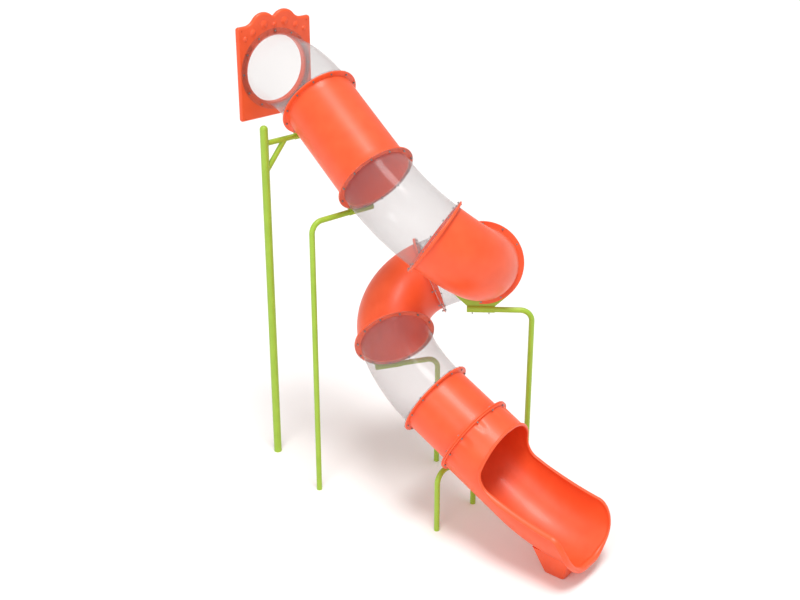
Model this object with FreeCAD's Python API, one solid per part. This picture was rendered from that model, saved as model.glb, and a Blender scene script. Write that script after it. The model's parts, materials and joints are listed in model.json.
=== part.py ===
"""Spiral tube slide: entry panel, nine bolted tube sections and five steel supports.

Millimetres and degrees. The origin is the centre of the entry post's foot, on the ground.
+Z is up and -Y is the way a rider leaves the deck. Facing downhill, "left" is +X at the entry.
"""
import FreeCAD, Part
import math
import os

Vec = FreeCAD.Vector
UP = Vec(0, 0, 1)

# ---------------------------------------------------------------- driving dimensions

# tube sections
tube_radius = 394.0            # outside radius of the tube
moulded_wall = 6.0             # rotationally moulded sections
moulded_flange = 20.0
moulded_flange_round = 7.0
clear_wall = 5.0               # clear polycarbonate sections
clear_flange = 8.0
clear_flange_round = 2.0
flange_stand = 58.0            # flange edge above the tube
exit_flange_stand = 78.0       # the two flanges at the exit chute are taller
flange_radius = tube_radius + flange_stand
exit_flange_radius = tube_radius + exit_flange_stand

# route of the tube
entry_offset = 545.0           # tube axis to the left of the entry post
first_joint_height = 4276.0    # centre of the first tube joint above the ground
easing_turn = 30.5             # turn of each gentle bend
entry_bend_radius = 1322.0
entry_collar_length = 135.0     # straight start of the entry elbow
gentle_bend_radius = 1630.0
upper_straight_length = 1152.0
spiral_turn = 91.5             # turn of each tight bend
spiral_bend_radius = 604.0
lower_straight_length = 584.0
# direction of each bend, measured in the joint plane upwards from the rider's left
upper_clear_roll = -16.6
upper_spiral_roll = -18.9
middle_clear_roll = -24.1
lower_spiral_roll = -27.2
lower_clear_roll = -13.0

# joint fasteners, M10
bolts_per_joint = 12
bolt_stand = 30.0              # bolt circle above the tube
exit_bolt_stand = 12.0         # bolt circle of the exit joint above the chute's hood
bolt_radius = 5.0
bolt_hole_clearance = 0.5
hex_across_flats = 17.0
head_height = 6.5
nut_height = 8.5
washer_radius = 10.5
washer_height = 2.0
thread_stickout = 4.0

# entry panel
panel_thickness = 60.0
panel_side_margin = 25.0       # panel edges beyond the elbow's flange
panel_foot_margin = 78.0
panel_shoulder_margin = 70.0
panel_crown_margin = 188.0
panel_crown_offset = 133.0     # each rounded crown beside the centre notch
panel_crown_radius = 165.0
notch_round = 24.0
shoulder_sweep = 130.0         # hollow curve from each shoulder up to its crown
shoulder_round = 32.0
base_round = 24.0
panel_edge_round = 26.0
panel_wall = 8.0
panel_bore_step = 15.0         # panel's hole inside the tube's bore
bubble_height = 18.0
bubble_root = 2.0              # depth that each bubble is sunk into the panel's front
# raised round bubbles: degrees from the top on both sides, distance beyond the flange, radius
bubbles = [(0.0, 42.0, 26.0), (14.5, 76.0, 44.0), (32.0, 74.0, 35.0), (44.3, 94.0, 25.0)]
insert_radius = 8.0
insert_length = 25.0
insert_boss_radius = 15.0
insert_boss_length = 34.0
deck_bolt_side_inset = 55.0    # deck bolts in from the panel's sides, shoulders and foot
deck_bolt_shoulder_inset = 45.0
deck_bolt_foot_inset = 30.0
deck_hole_radius = 6.5
deck_boss_radius = 16.0

# steel supports
post_radius = 44.45
post_wall = 4.0
post_above_arm = 160.0
post_cap_skirt = 45.0
post_cap_wall = 3.0
pipe_radius = 30.15
pipe_wall = 3.5
pipe_bend_radius = 125.0
foot_plate = 6.0               # disc that closes the bottom of each post and leg
sleeve_clearance = 0.6
sleeve_wall = 5.75
sleeve_length = 300.0
sleeve_gap = 13.5              # sleeve to the flange's edge, in the joint plane
saddle_plate = 8.0
saddle_clearance = 6.0         # saddle plate to tube
saddle_low_half_width = 150.0
saddle_horn_angle = 49.8       # horns' outer corners on the flange's edge, below level
brace_foot_drop = 330.0        # brace to arm, down the entry post
brace_reach = 265.0            # brace along the arm from the post's axis
arm_end_gap = 20.0             # pipe's end to the far end of its sleeve
set_screw_inset = 60.0         # set screws in from the sleeve's ends
set_screw_head = 12.0
set_screw_radius = 5.0
set_screw_clearance = 0.2
set_screw_stand = 6.0          # head above the sleeve
upper_leg_gap = 188.0          # axis of each leg beside the tube, out from the flange's edge
middle_leg_gap = 100.0
lower_leg_gap = 130.0
exit_leg_half_spacing = 333.0
exit_leg_shift = 50.0          # the pair of exit legs, to the left
exit_leg_gap = 12.0

# exit chute
chute_stand = 44.0             # the chute's outside beyond the tube's
chute_wall = 7.0
chute_straight_reach = 700.0   # level distance from the joint to the start of the curve
chute_curve_radius = 1500.0
chute_level_run = 130.0
hood_reach = 355.0
hood_lean = 13.0               # hood's front edge, forward from upright
hood_corner_round = 190.0
rim_start_height = -48.0       # rim line at the hood, from the slide's slope line
rim_start_slope = 22.5
rim_radius = 3865.0
rim_end_length = 215.0         # last stretch, where the side walls round down to the lip
lip_inset = 28.0               # lip before the end of the chute's sweep
lip_rise = 98.0                # lip above the chute's lowest line
rim_width = 34.0
rim_stand = 28.0
foot_inset = 194.0             # foot's front behind the lip
foot_length = 240.0
foot_half_width = 180.0
foot_flare = 100.0
foot_rise = 126.0              # foot's walls up the chute, above its lowest line
foot_wall = 10.0
foot_corner_round = 30.0

tiny = 0.01

# ---------------------------------------------------------------- sizes that follow

bolt_circle_radius = tube_radius + bolt_stand
chute_radius = tube_radius + chute_stand
exit_bolt_circle_radius = chute_radius + exit_bolt_stand
panel_half_width = flange_radius + panel_side_margin
panel_below_centre = flange_radius + panel_foot_margin
panel_shoulder_height = flange_radius + panel_shoulder_margin
panel_crown_height = flange_radius + panel_crown_margin
sleeve_bore = pipe_radius + sleeve_clearance
sleeve_radius = sleeve_bore + sleeve_wall
arm_below_flange = sleeve_radius + sleeve_gap


# ---------------------------------------------------------------- joints along the route

class Ring:
    """A joint plane: its centre, and unit directions downhill, to the left and up the plane."""

    def __init__(self, centre, along):
        self.centre = Vec(centre)
        self.along = Vec(along).normalize()
        self.left = UP.cross(self.along).normalize()
        self.up = self.along.cross(self.left)

    def point(self, left, up, along):
        return self.centre + self.left * left + self.up * up + self.along * along

    def place(self, shape):
        """Moves a shape drawn with x to the left, y up and z downhill onto this ring."""
        x, y, z, c = self.left, self.up, self.along, self.centre
        matrix = FreeCAD.Matrix(x.x, y.x, z.x, c.x, x.y, y.y, z.y, c.y, x.z, y.z, z.z, c.z, 0, 0, 0, 1)
        placed = shape.copy()
        placed.Placement = FreeCAD.Placement(matrix).multiply(shape.Placement)
        return placed

    def after_straight(self, length):
        return Ring(self.point(0, 0, length), self.along)

    def after_bend(self, turn, radius, roll):
        angle = math.radians(turn)
        toward = self.left * math.cos(math.radians(roll)) + self.up * math.sin(math.radians(roll))
        centre = self.centre + self.along * (radius * math.sin(angle))
        centre = centre + toward * (radius * (1 - math.cos(angle)))
        return Ring(centre, self.along * math.cos(angle) + toward * math.sin(angle))


def tube_between(radius, wall, length):
    """A straight round tube along z."""
    outer = Part.makeCylinder(radius, length)
    return outer.cut(Part.makeCylinder(radius - wall, length))


def annulus(radius, wall):
    outer = Part.Face(Part.Wire(Part.makeCircle(radius)))
    return outer.cut(Part.Face(Part.Wire(Part.makeCircle(radius - wall)))).Faces[0]


def bent_tube(radius, wall, turn, bend_radius, roll):
    """A round tube that starts along z and turns towards the roll direction."""
    angle = math.radians(roll)
    hinge = Vec(bend_radius * math.cos(angle), bend_radius * math.sin(angle), 0)
    axis = Vec(-math.sin(angle), math.cos(angle), 0)
    return annulus(radius, wall).revolve(hinge, axis, turn)


def flange(outer, inner, thickness, rounding, start):
    """A flat ring along z from start, with its outer edges rounded."""
    disc = Part.makeCylinder(outer, thickness, Vec(0, 0, start))
    rim = [edge for edge in disc.Edges if isinstance(edge.Curve, Part.Circle)]
    disc = disc.makeFillet(rounding, rim)
    return disc.cut(Part.makeCylinder(inner, thickness, Vec(0, 0, start)))


def bolt_angles():
    return [-90.0 + 360.0 * k / bolts_per_joint for k in range(bolts_per_joint)]


def on_circle(radius, angle):
    turn = math.radians(angle)
    return radius * math.cos(turn), radius * math.sin(turn)


def bolt_holes(ring, rim, reach):
    """Clearance holes for every bolt of a joint, reaching both ways from its plane."""
    holes = []
    for angle in bolt_angles():
        x, y = on_circle(rim.circle, angle)
        base = Vec(x, y, -reach)
        holes.append(Part.makeCylinder(bolt_radius + bolt_hole_clearance, 2 * reach, base))
    return ring.place(Part.makeCompound(holes))


# ---------------------------------------------------------------- tube sections

class Moulded:
    wall, flange, rounding = moulded_wall, moulded_flange, moulded_flange_round


class Clear:
    wall, flange, rounding = clear_wall, clear_flange, clear_flange_round


class UsualRim:
    radius, circle = flange_radius, bolt_circle_radius


class ExitRim:
    radius, circle = exit_flange_radius, exit_bolt_circle_radius


def section(start, end, shell, kind, end_rim):
    """A tube shell with a bolted flange at each end."""
    inner = tube_radius - kind.wall / 2
    first = start.place(flange(flange_radius, inner, kind.flange, kind.rounding, 0))
    last = end.place(flange(end_rim.radius, inner, kind.flange, kind.rounding, -kind.flange))
    whole = start.place(shell).fuse([first, last])
    reach = 2 * moulded_flange
    return whole.cut([bolt_holes(start, UsualRim, reach), bolt_holes(end, end_rim, reach)]).removeSplitter()


def straight_section(start, length, kind, end_rim):
    shell = tube_between(tube_radius, kind.wall, length)
    return section(start, start.after_straight(length), shell, kind, end_rim)


def bent_section(start, collar, turn, radius, roll, kind):
    """A bend, with a straight collar before it where the length isn't zero."""
    shell = bent_tube(tube_radius, kind.wall, turn, radius, roll)
    if collar:
        shell.translate(Vec(0, 0, collar))
        shell = shell.fuse(tube_between(tube_radius, kind.wall, collar))
    return section(start, start.after_straight(collar).after_bend(turn, radius, roll), shell, kind, UsualRim)


# the first joint is where the entry post's arm passes under the tube
slope = math.radians(easing_turn)
sleeve_depth = flange_radius + arm_below_flange
entry_sleeve_back = clear_flange + saddle_plate / 2
first_joint_y = -sleeve_depth * math.sin(slope) - entry_sleeve_back * math.cos(slope)
panel_ring = Ring(
    Vec(entry_offset,
        first_joint_y + entry_bend_radius * math.sin(slope) + entry_collar_length,
        first_joint_height + entry_bend_radius * (1 - math.cos(slope))),
    Vec(0, -1, 0))

parts = {}
rings = [panel_ring]


def add_bend(name, turn, radius, roll, kind, collar=0.0):
    parts[name] = bent_section(rings[-1], collar, turn, radius, roll, kind)
    rings.append(rings[-1].after_straight(collar).after_bend(turn, radius, roll))


def add_straight(name, length, kind, end_rim):
    parts[name] = straight_section(rings[-1], length, kind, end_rim)
    rings.append(rings[-1].after_straight(length))


add_bend("clear_entry_elbow", easing_turn, entry_bend_radius, -90.0, Clear, entry_collar_length)
add_straight("upper_straight_tube", upper_straight_length, Moulded, UsualRim)
add_bend("upper_clear_bend", easing_turn, gentle_bend_radius, upper_clear_roll, Clear)
add_bend("upper_spiral_bend", spiral_turn, spiral_bend_radius, upper_spiral_roll, Moulded)
add_bend("middle_clear_bend", spiral_turn, spiral_bend_radius, middle_clear_roll, Clear)
add_bend("lower_spiral_bend", spiral_turn, spiral_bend_radius, lower_spiral_roll, Moulded)
add_bend("lower_clear_bend", easing_turn, gentle_bend_radius, lower_clear_roll, Clear)
add_straight("lower_straight_tube", lower_straight_length, Moulded, ExitRim)
exit_ring = rings[-1]

# flange thickness uphill and downhill of each joint after the panel, in order
joint_flanges = [
    (clear_flange, moulded_flange), (moulded_flange, clear_flange), (clear_flange, moulded_flange),
    (moulded_flange, clear_flange), (clear_flange, moulded_flange), (moulded_flange, clear_flange),
    (clear_flange, moulded_flange), (moulded_flange, moulded_flange)]


# ---------------------------------------------------------------- entry panel

def tangent_arc(start, through, end):
    return Part.Arc(start, through, end).toShape()


def panel_outline():
    """The panel's face in x and y about the tube's centre: rounded shoulders and two crowns."""
    half, low, high = panel_half_width, -panel_below_centre, panel_shoulder_height
    crown = Vec(panel_crown_offset, panel_crown_height - panel_crown_radius)
    sweep_reach = panel_crown_radius + shoulder_sweep
    sweep_rise = high + shoulder_sweep - crown.y
    sweep = Vec(crown.x + math.sqrt(sweep_reach ** 2 - sweep_rise ** 2), high + shoulder_sweep)
    notch_reach = panel_crown_radius + notch_round
    notch = Vec(0, crown.y + math.sqrt(notch_reach ** 2 - crown.x ** 2))
    crown_foot = crown + (sweep - crown) * (panel_crown_radius / sweep_reach)
    crown_inner = crown + (notch - crown) * (panel_crown_radius / notch_reach)
    sweep_low = Vec(sweep.x, high)
    sweep_middle = sweep + ((crown_foot + sweep_low) * 0.5 - sweep).normalize() * shoulder_sweep

    def mirrored(point):
        return Vec(-point.x, point.y)

    corner = math.sqrt(0.5)
    edges = [tangent_arc(mirrored(crown_inner), notch - Vec(0, notch_round), crown_inner)]
    edges.append(Part.LineSegment(Vec(-half + base_round, low), Vec(half - base_round, low)).toShape())
    for flip in (Vec, mirrored):
        crown_top = crown + Vec(0, panel_crown_radius)
        edges.append(tangent_arc(flip(crown_inner), flip(crown_top), flip(crown_foot)))
        edges.append(tangent_arc(flip(crown_foot), flip(sweep_middle), flip(sweep_low)))
        edges.append(Part.LineSegment(flip(sweep_low), flip(Vec(half - shoulder_round, high))).toShape())
        knee = Vec(half - shoulder_round * (1 - corner), high - shoulder_round * (1 - corner))
        edges.append(tangent_arc(
            flip(Vec(half - shoulder_round, high)), flip(knee), flip(Vec(half, high - shoulder_round))))
        edges.append(Part.LineSegment(
            flip(Vec(half, high - shoulder_round)), flip(Vec(half, low + base_round))).toShape())
        heel = Vec(half - base_round * (1 - corner), low + base_round * (1 - corner))
        edges.append(tangent_arc(
            flip(Vec(half, low + base_round)), flip(heel), flip(Vec(half - base_round, low))))
    return Part.Face(Part.Wire(Part.__sortEdges__(edges)))


def entry_panel():
    """A hollow moulded panel; z runs downhill, so its front face is at z 0 and its back is behind."""
    outline = panel_outline()
    bore = tube_radius - clear_wall - panel_bore_step
    body = outline.extrude(Vec(0, 0, panel_thickness))
    middle = panel_thickness / 2
    rims = [e for e in body.Edges if abs(abs(e.CenterOfMass.z - middle) - middle) < tiny]
    body = body.makeFillet(panel_edge_round, rims)
    hollow = outline.makeOffset2D(-panel_wall).extrude(Vec(0, 0, panel_thickness - 2 * panel_wall))
    hollow.translate(Vec(0, 0, panel_wall))
    keep = [Part.makeCylinder(bore + panel_wall, panel_thickness)]
    for angle in bolt_angles():
        x, y = on_circle(bolt_circle_radius, angle)
        base = Vec(x, y, panel_thickness - insert_boss_length)
        keep.append(Part.makeCylinder(insert_boss_radius, insert_boss_length, base))
    for x, y in deck_bolt_places():
        keep.append(Part.makeCylinder(deck_boss_radius, panel_thickness, Vec(x, y, 0)))
    body = body.cut(hollow.cut(keep))
    for angle, beyond, radius in bubbles:
        side, height = on_circle(flange_radius + beyond, 90.0 - angle)
        for x in sorted({side, -side}) if angle else [0.0]:
            ball_radius = (radius ** 2 + bubble_height ** 2) / (2 * bubble_height)
            centre = Vec(x, height, panel_thickness + bubble_height - ball_radius)
            cap_box = Part.makeBox(4 * radius, 4 * radius, 2 * bubble_height)
            cap_box.translate(Vec(x - 2 * radius, height - 2 * radius, panel_thickness - bubble_root))
            body = body.fuse(Part.makeSphere(ball_radius, centre).common(cap_box))
    cuts = [Part.makeCylinder(bore, panel_thickness)]
    for angle in bolt_angles():
        x, y = on_circle(bolt_circle_radius, angle)
        base = Vec(x, y, panel_thickness - insert_length)
        cuts.append(Part.makeCylinder(insert_radius, insert_length, base))
    for x, y in deck_bolt_places():
        cuts.append(Part.makeCylinder(deck_hole_radius, panel_thickness, Vec(x, y, 0)))
    body = body.cut(cuts)
    body.translate(Vec(0, 0, -panel_thickness))
    return panel_ring.place(body)


def deck_bolt_places():
    side = panel_half_width - deck_bolt_side_inset
    heights = (deck_bolt_foot_inset - panel_below_centre, panel_shoulder_height - deck_bolt_shoulder_inset)
    return [(x, y) for x in (-side, side) for y in heights]


def panel_inserts():
    """Threaded inserts moulded into the panel's front, one for each bolt of the entry elbow."""
    inserts = []
    for angle in bolt_angles():
        x, y = on_circle(bolt_circle_radius, angle)
        body = Part.makeCylinder(insert_radius, insert_length, Vec(x, y, -insert_length))
        inserts.append(body.cut(Part.makeCylinder(bolt_radius, insert_length, Vec(x, y, -insert_length))))
    return panel_ring.place(Part.makeCompound(inserts))


# ---------------------------------------------------------------- exit chute

exit_slope = math.asin(-exit_ring.along.z)
curve_reach = chute_curve_radius * math.sin(exit_slope)
lip_reach = chute_straight_reach + curve_reach + chute_level_run - lip_inset
rim_end_reach = lip_reach - rim_end_length
foot_front = lip_reach - foot_inset
foot_back = foot_front - foot_length


def chute_shell(start_radius, wall):
    """The full round sweep that the chute is cut from: straight, curving level, level."""
    straight = chute_straight_reach / math.cos(exit_slope)
    ring = exit_ring
    first = ring.place(tube_between(start_radius, wall, straight))
    ring = ring.after_straight(straight)
    turn = math.degrees(exit_slope)
    curve = ring.place(bent_tube(start_radius, wall, turn, chute_curve_radius, 90.0))
    ring = ring.after_bend(turn, chute_curve_radius, 90.0)
    last = ring.place(tube_between(start_radius, wall, chute_level_run))
    return first.fuse([curve, last])


def chute_bottom():
    """Height of the chute's lowest line, where it runs level."""
    turned = chute_curve_radius * (1 - math.cos(exit_slope))
    axis = exit_ring.centre.z - chute_straight_reach * math.tan(exit_slope) - turned
    return axis - chute_radius


def rim_height(reach):
    """Height of the rim line at a level distance from the joint."""
    first = math.radians(rim_start_slope)
    here = math.asin(math.sin(first) - (reach - hood_reach) / rim_radius)
    start = exit_ring.centre.z - hood_reach * math.tan(exit_slope) + rim_start_height
    return start - rim_radius * (math.cos(here) - math.cos(first))


def open_profile():
    """What is cut away above the rim line, as a face in the vertical plane of the chute."""
    far, high, low = lip_reach + 900.0, exit_ring.centre.z + 900.0, -300.0
    middle = (hood_reach + rim_end_reach) / 2
    start = Vec(hood_reach, rim_height(hood_reach))
    top = Vec(start.x + (high - start.y) * math.tan(math.radians(hood_lean)), high)
    end = Vec(rim_end_reach, rim_height(rim_end_reach))
    lip = Vec(lip_reach, chute_bottom() + lip_rise)
    # a quarter ellipse's middle point, so that the side wall rounds down into the lip
    across = Vec(end.x + (lip.x - end.x) * math.sin(math.pi / 4),
                 lip.y + (end.y - lip.y) * math.cos(math.pi / 4))
    edges = [
        Part.LineSegment(top, start).toShape(),
        Part.Arc(start, Vec(middle, rim_height(middle)), end).toShape(),
        Part.Arc(end, across, lip).toShape(),
        Part.LineSegment(lip, Vec(lip_reach, low)).toShape(),
        Part.LineSegment(Vec(lip_reach, low), Vec(far, low)).toShape(),
        Part.LineSegment(Vec(far, low), Vec(far, high)).toShape(),
        Part.LineSegment(Vec(far, high), top).toShape()]
    face = Part.Face(Part.Wire(edges))
    return face.makeOffset2D(-hood_corner_round).makeOffset2D(hood_corner_round)


def across_chute(face):
    """Stands a face of reach and height up in the chute's vertical plane and extrudes it both ways."""
    solid = face.extrude(Vec(0, 0, 2000.0))
    solid.translate(Vec(0, 0, -1000.0))
    level = Vec(exit_ring.along.x, exit_ring.along.y, 0).normalize()
    side = level.cross(UP)
    c = Vec(exit_ring.centre.x, exit_ring.centre.y, 0)
    solid.Placement = FreeCAD.Placement(FreeCAD.Matrix(
        level.x, UP.x, side.x, c.x, level.y, UP.y, side.y, c.y, level.z, UP.z, side.z, c.z, 0, 0, 0, 1)
        ).multiply(solid.Placement)
    return solid


def rounded_block(back, front, half_width, height, rounding):
    """A rounded rectangle in reach and side, at one height, as a wire for a loft."""
    corners = [Vec(back, -half_width, height), Vec(front, -half_width, height),
               Vec(front, half_width, height), Vec(back, half_width, height), Vec(back, -half_width, height)]
    face = Part.Face(Part.makePolygon(corners))
    return face.makeOffset2D(-rounding).makeOffset2D(rounding).OuterWire


def foot_loft(inset, base):
    low = rounded_block(foot_back + inset, foot_front - inset, foot_half_width - inset, base,
                        foot_corner_round)
    spread = foot_flare - inset
    high = rounded_block(foot_back - spread, foot_front + spread, foot_half_width + spread,
                         chute_bottom() + foot_rise, foot_corner_round)
    loft = Part.makeLoft([low, high], True, True)
    level = Vec(exit_ring.along.x, exit_ring.along.y, 0).normalize()
    side = UP.cross(level)
    c = Vec(exit_ring.centre.x, exit_ring.centre.y, 0)
    loft.Placement = FreeCAD.Placement(FreeCAD.Matrix(
        level.x, side.x, UP.x, c.x, level.y, side.y, UP.y, c.y, level.z, side.z, UP.z, c.z, 0, 0, 0, 1))
    return loft


def exit_chute():
    opening = open_profile()
    cutter = across_chute(opening)
    band = across_chute(opening.makeOffset2D(rim_width)).cut(cutter)
    shell = chute_shell(chute_radius, chute_wall)
    rim = chute_shell(chute_radius + rim_stand, rim_stand + chute_wall / 2).common(band)
    foot = foot_loft(0, 0).cut(foot_loft(foot_wall, foot_wall))
    foot = foot.cut(chute_shell(chute_radius - chute_wall / 2, chute_radius - chute_wall / 2 - tiny))
    bore = tube_radius - moulded_wall
    collar = exit_ring.place(flange(exit_flange_radius, bore, moulded_flange, moulded_flange_round, 0))
    chute = shell.cut(cutter).fuse([rim, collar, foot])
    return chute.cut(bolt_holes(exit_ring, ExitRim, 2 * moulded_flange)).removeSplitter()


# ---------------------------------------------------------------- steel supports

def sleeve_back(uphill_flange):
    return -(uphill_flange + saddle_plate / 2)


def saddle(ring, rim, uphill_flange, shift):
    """A crescent plate bolted behind the flange, welded to the sleeve that takes the pipe."""
    back = -(uphill_flange + saddle_plate)
    axis_y = -(rim.radius + arm_below_flange)
    low_y = axis_y + sleeve_bore + sleeve_wall / 2
    horn_x, horn_y = on_circle(flange_radius, -saddle_horn_angle)
    plate = Part.Face(Part.makePolygon([
        Vec(-saddle_low_half_width, low_y, back), Vec(saddle_low_half_width, low_y, back),
        Vec(horn_x, horn_y, back), Vec(-horn_x, horn_y, back),
        Vec(-saddle_low_half_width, low_y, back)])).extrude(Vec(0, 0, saddle_plate))
    plate = plate.cut(Part.makeCylinder(tube_radius + saddle_clearance, saddle_plate, Vec(0, 0, back)))
    start = Vec(shift - sleeve_length / 2, axis_y, sleeve_back(uphill_flange))
    sleeve = Part.makeCylinder(sleeve_radius, sleeve_length, start, Vec(1, 0, 0))
    bore = Part.makeCylinder(sleeve_bore, sleeve_length, start, Vec(1, 0, 0))
    screws = []
    for place in set_screw_places(shift):
        base = Vec(place, axis_y, sleeve_back(uphill_flange))
        hole_radius = set_screw_radius + set_screw_clearance
        screws.append(Part.makeCylinder(hole_radius, 2 * sleeve_radius, base, Vec(0, -1, 0)))
    return ring.place(plate.fuse(sleeve).cut([bore] + screws)).cut(bolt_holes(ring, rim, 2 * moulded_flange))


def set_screw_places(shift):
    half = sleeve_length / 2 - set_screw_inset
    return [shift - half, shift + half]


def set_screws(ring, rim, uphill_flange, shift):
    """Square-headed screws up through the sleeve's underside onto the pipe."""
    screws = []
    for place in set_screw_places(shift):
        base = Vec(place, -(rim.radius + arm_below_flange) - pipe_radius, sleeve_back(uphill_flange))
        length = sleeve_radius - pipe_radius + set_screw_stand
        shank = Part.makeCylinder(set_screw_radius, length, base, Vec(0, -1, 0))
        low = base - Vec(0, length, 0)
        head = Part.makeBox(set_screw_head, set_screw_head, set_screw_head)
        head.translate(low - Vec(set_screw_head / 2, set_screw_head, set_screw_head / 2))
        screws.append(shank.fuse(head))
    return [ring.place(screw) for screw in screws]


def steel_pipe(start, end, radius, wall):
    run = end - start
    outer = Part.makeCylinder(radius, run.Length, start, run)
    return outer.cut(Part.makeCylinder(radius - wall, run.Length, start, run))


def bent_pipe(corner, arm_direction, arm_end):
    """A leg from the ground that bends into a level arm."""
    r = pipe_bend_radius
    leg = steel_pipe(Vec(corner.x, corner.y, 0), corner - UP * r, pipe_radius, pipe_wall)
    arm = steel_pipe(corner + arm_direction * r, corner + arm_direction * arm_end, pipe_radius, pipe_wall)
    ring = annulus(pipe_radius, pipe_wall)
    ring.translate(corner - UP * r)
    bend = ring.revolve(corner - UP * r + arm_direction * r, UP.cross(arm_direction), 90)
    plate = Part.makeCylinder(pipe_radius - pipe_wall / 2, foot_plate, Vec(corner.x, corner.y, 0))
    return leg.fuse([bend, arm, plate])


def side_support(ring, uphill_flange, side, gap):
    """A leg beside the tube whose arm passes through the saddle's sleeve; side is 1 on the left."""
    offset = flange_radius + gap
    corner = ring.point(side * offset, -(flange_radius + arm_below_flange), sleeve_back(uphill_flange))
    reach = offset + sleeve_length / 2 - arm_end_gap
    return bent_pipe(corner, ring.left * (-side), reach)


def exit_leg(side):
    """One of the two legs under the chute's joint; side is 1 on the left and -1 on the right."""
    depth = -(exit_flange_radius + arm_below_flange)
    offset = exit_leg_shift + side * exit_leg_half_spacing
    corner = exit_ring.point(offset, depth, sleeve_back(moulded_flange))
    reach = exit_leg_half_spacing - exit_leg_gap / 2
    return bent_pipe(corner, exit_ring.left * (-side), reach)


first_ring, second_ring, spiral_ring, last_spiral_ring = rings[1], rings[2], rings[4], rings[6]
entry_arm_start = first_ring.point(-entry_offset, -sleeve_depth, sleeve_back(clear_flange))
entry_arm_end = first_ring.point(sleeve_length / 2 - arm_end_gap, -sleeve_depth, sleeve_back(clear_flange))
post_top = entry_arm_start.z + post_above_arm
post_solid = Part.makeCylinder(post_radius, post_top)

parts["entry_panel"] = entry_panel()
parts["panel_inserts"] = panel_inserts()
parts["exit_chute"] = exit_chute()
parts["entry_post"] = steel_pipe(Vec(0, 0, 0), Vec(0, 0, post_top), post_radius, post_wall).fuse(
    Part.makeCylinder(post_radius - post_wall / 2, foot_plate))


def entry_post_cap():
    """A domed cap pressed into the post's open top."""
    dome = Part.makeSphere(post_radius, Vec(0, 0, post_top))
    dome = dome.common(Part.makeCylinder(post_radius, post_radius, Vec(0, 0, post_top)))
    plug_radius = post_radius - post_wall
    base = Vec(0, 0, post_top - post_cap_skirt)
    plug = Part.makeCylinder(plug_radius, post_cap_skirt, base)
    hollow = Part.makeCylinder(plug_radius - post_cap_wall, post_cap_skirt - post_cap_wall, base)
    return dome.fuse(plug.cut(hollow))


def entry_brace():
    low = Vec(0, 0, entry_arm_start.z - brace_foot_drop)
    high = entry_arm_start + Vec(brace_reach, 0, 0)
    arm_length = (entry_arm_end - entry_arm_start).Length
    arm_solid = Part.makeCylinder(pipe_radius, arm_length, entry_arm_start, Vec(1, 0, 0))
    brace = steel_pipe(low, high, pipe_radius, pipe_wall)
    pieces = brace.cut([post_solid, arm_solid]).Solids
    return max(pieces, key=lambda solid: solid.Volume)


arm_pieces = steel_pipe(entry_arm_start, entry_arm_end, pipe_radius, pipe_wall).cut(post_solid).Solids
parts["entry_post_cap"] = entry_post_cap()
parts["entry_post_arm"] = max(arm_pieces, key=lambda solid: solid.BoundBox.XMax)
parts["entry_post_brace"] = entry_brace()

parts["upper_support_pipe"] = side_support(second_ring, moulded_flange, -1, upper_leg_gap)
parts["middle_support_pipe"] = side_support(spiral_ring, moulded_flange, -1, middle_leg_gap)
parts["lower_support_pipe"] = side_support(last_spiral_ring, moulded_flange, 1, lower_leg_gap)
parts["exit_leg_left"] = exit_leg(1)
parts["exit_leg_right"] = exit_leg(-1)

# saddle name, ring, rim, uphill flange and sideways shift of the sleeve
saddles = [
    ("entry_saddle", first_ring, UsualRim, clear_flange, 0.0),
    ("upper_saddle", second_ring, UsualRim, moulded_flange, 0.0),
    ("middle_saddle", spiral_ring, UsualRim, moulded_flange, 0.0),
    ("lower_saddle", last_spiral_ring, UsualRim, moulded_flange, 0.0),
    ("exit_saddle", exit_ring, ExitRim, moulded_flange, exit_leg_shift)]
screw_shapes = []
for name, ring, rim, uphill, shift in saddles:
    parts[name] = saddle(ring, rim, uphill, shift)
    screw_shapes += set_screws(ring, rim, uphill, shift)
parts["sleeve_set_screws"] = Part.makeCompound(screw_shapes)


# ---------------------------------------------------------------- joint fasteners

def hexagon(height, base):
    corner = hex_across_flats / math.sqrt(3)
    points = [Vec(*on_circle(corner, 60.0 * k), base) for k in range(7)]
    return Part.Face(Part.makePolygon(points)).extrude(Vec(0, 0, height))


def ring_washer(base):
    hole = bolt_radius + bolt_hole_clearance
    return Part.makeCylinder(washer_radius, washer_height, Vec(0, 0, base)).cut(
        Part.makeCylinder(hole, washer_height, Vec(0, 0, base)))


def bolt(head_base, end):
    """A hexagon bolt along z: the head's underside at head_base, the thread's end at end."""
    shank = Part.makeCylinder(bolt_radius, end - head_base, Vec(0, 0, head_base))
    return hexagon(head_height, head_base - head_height).fuse(shank)


def nut(base):
    return hexagon(nut_height, base).cut(Part.makeCylinder(bolt_radius, nut_height, Vec(0, 0, base)))


def at_bolt(ring, shape, angle):
    moved = shape.copy()
    x, y = on_circle(ExitRim.circle if ring is exit_ring else UsualRim.circle, angle)
    moved.translate(Vec(x, y, 0))
    return ring.place(Part.makeCompound([moved]))


fasteners = {"flange_bolts": [], "exit_joint_bolts": [], "saddle_bolts": [], "flange_nuts": [],
             "flange_washers": [], "panel_bolts": []}
saddle_ring_places = [ring.centre for _, ring, _, _, _ in saddles]
saddle_angles = bolt_angles()[:2] + bolt_angles()[-1:]

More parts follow.
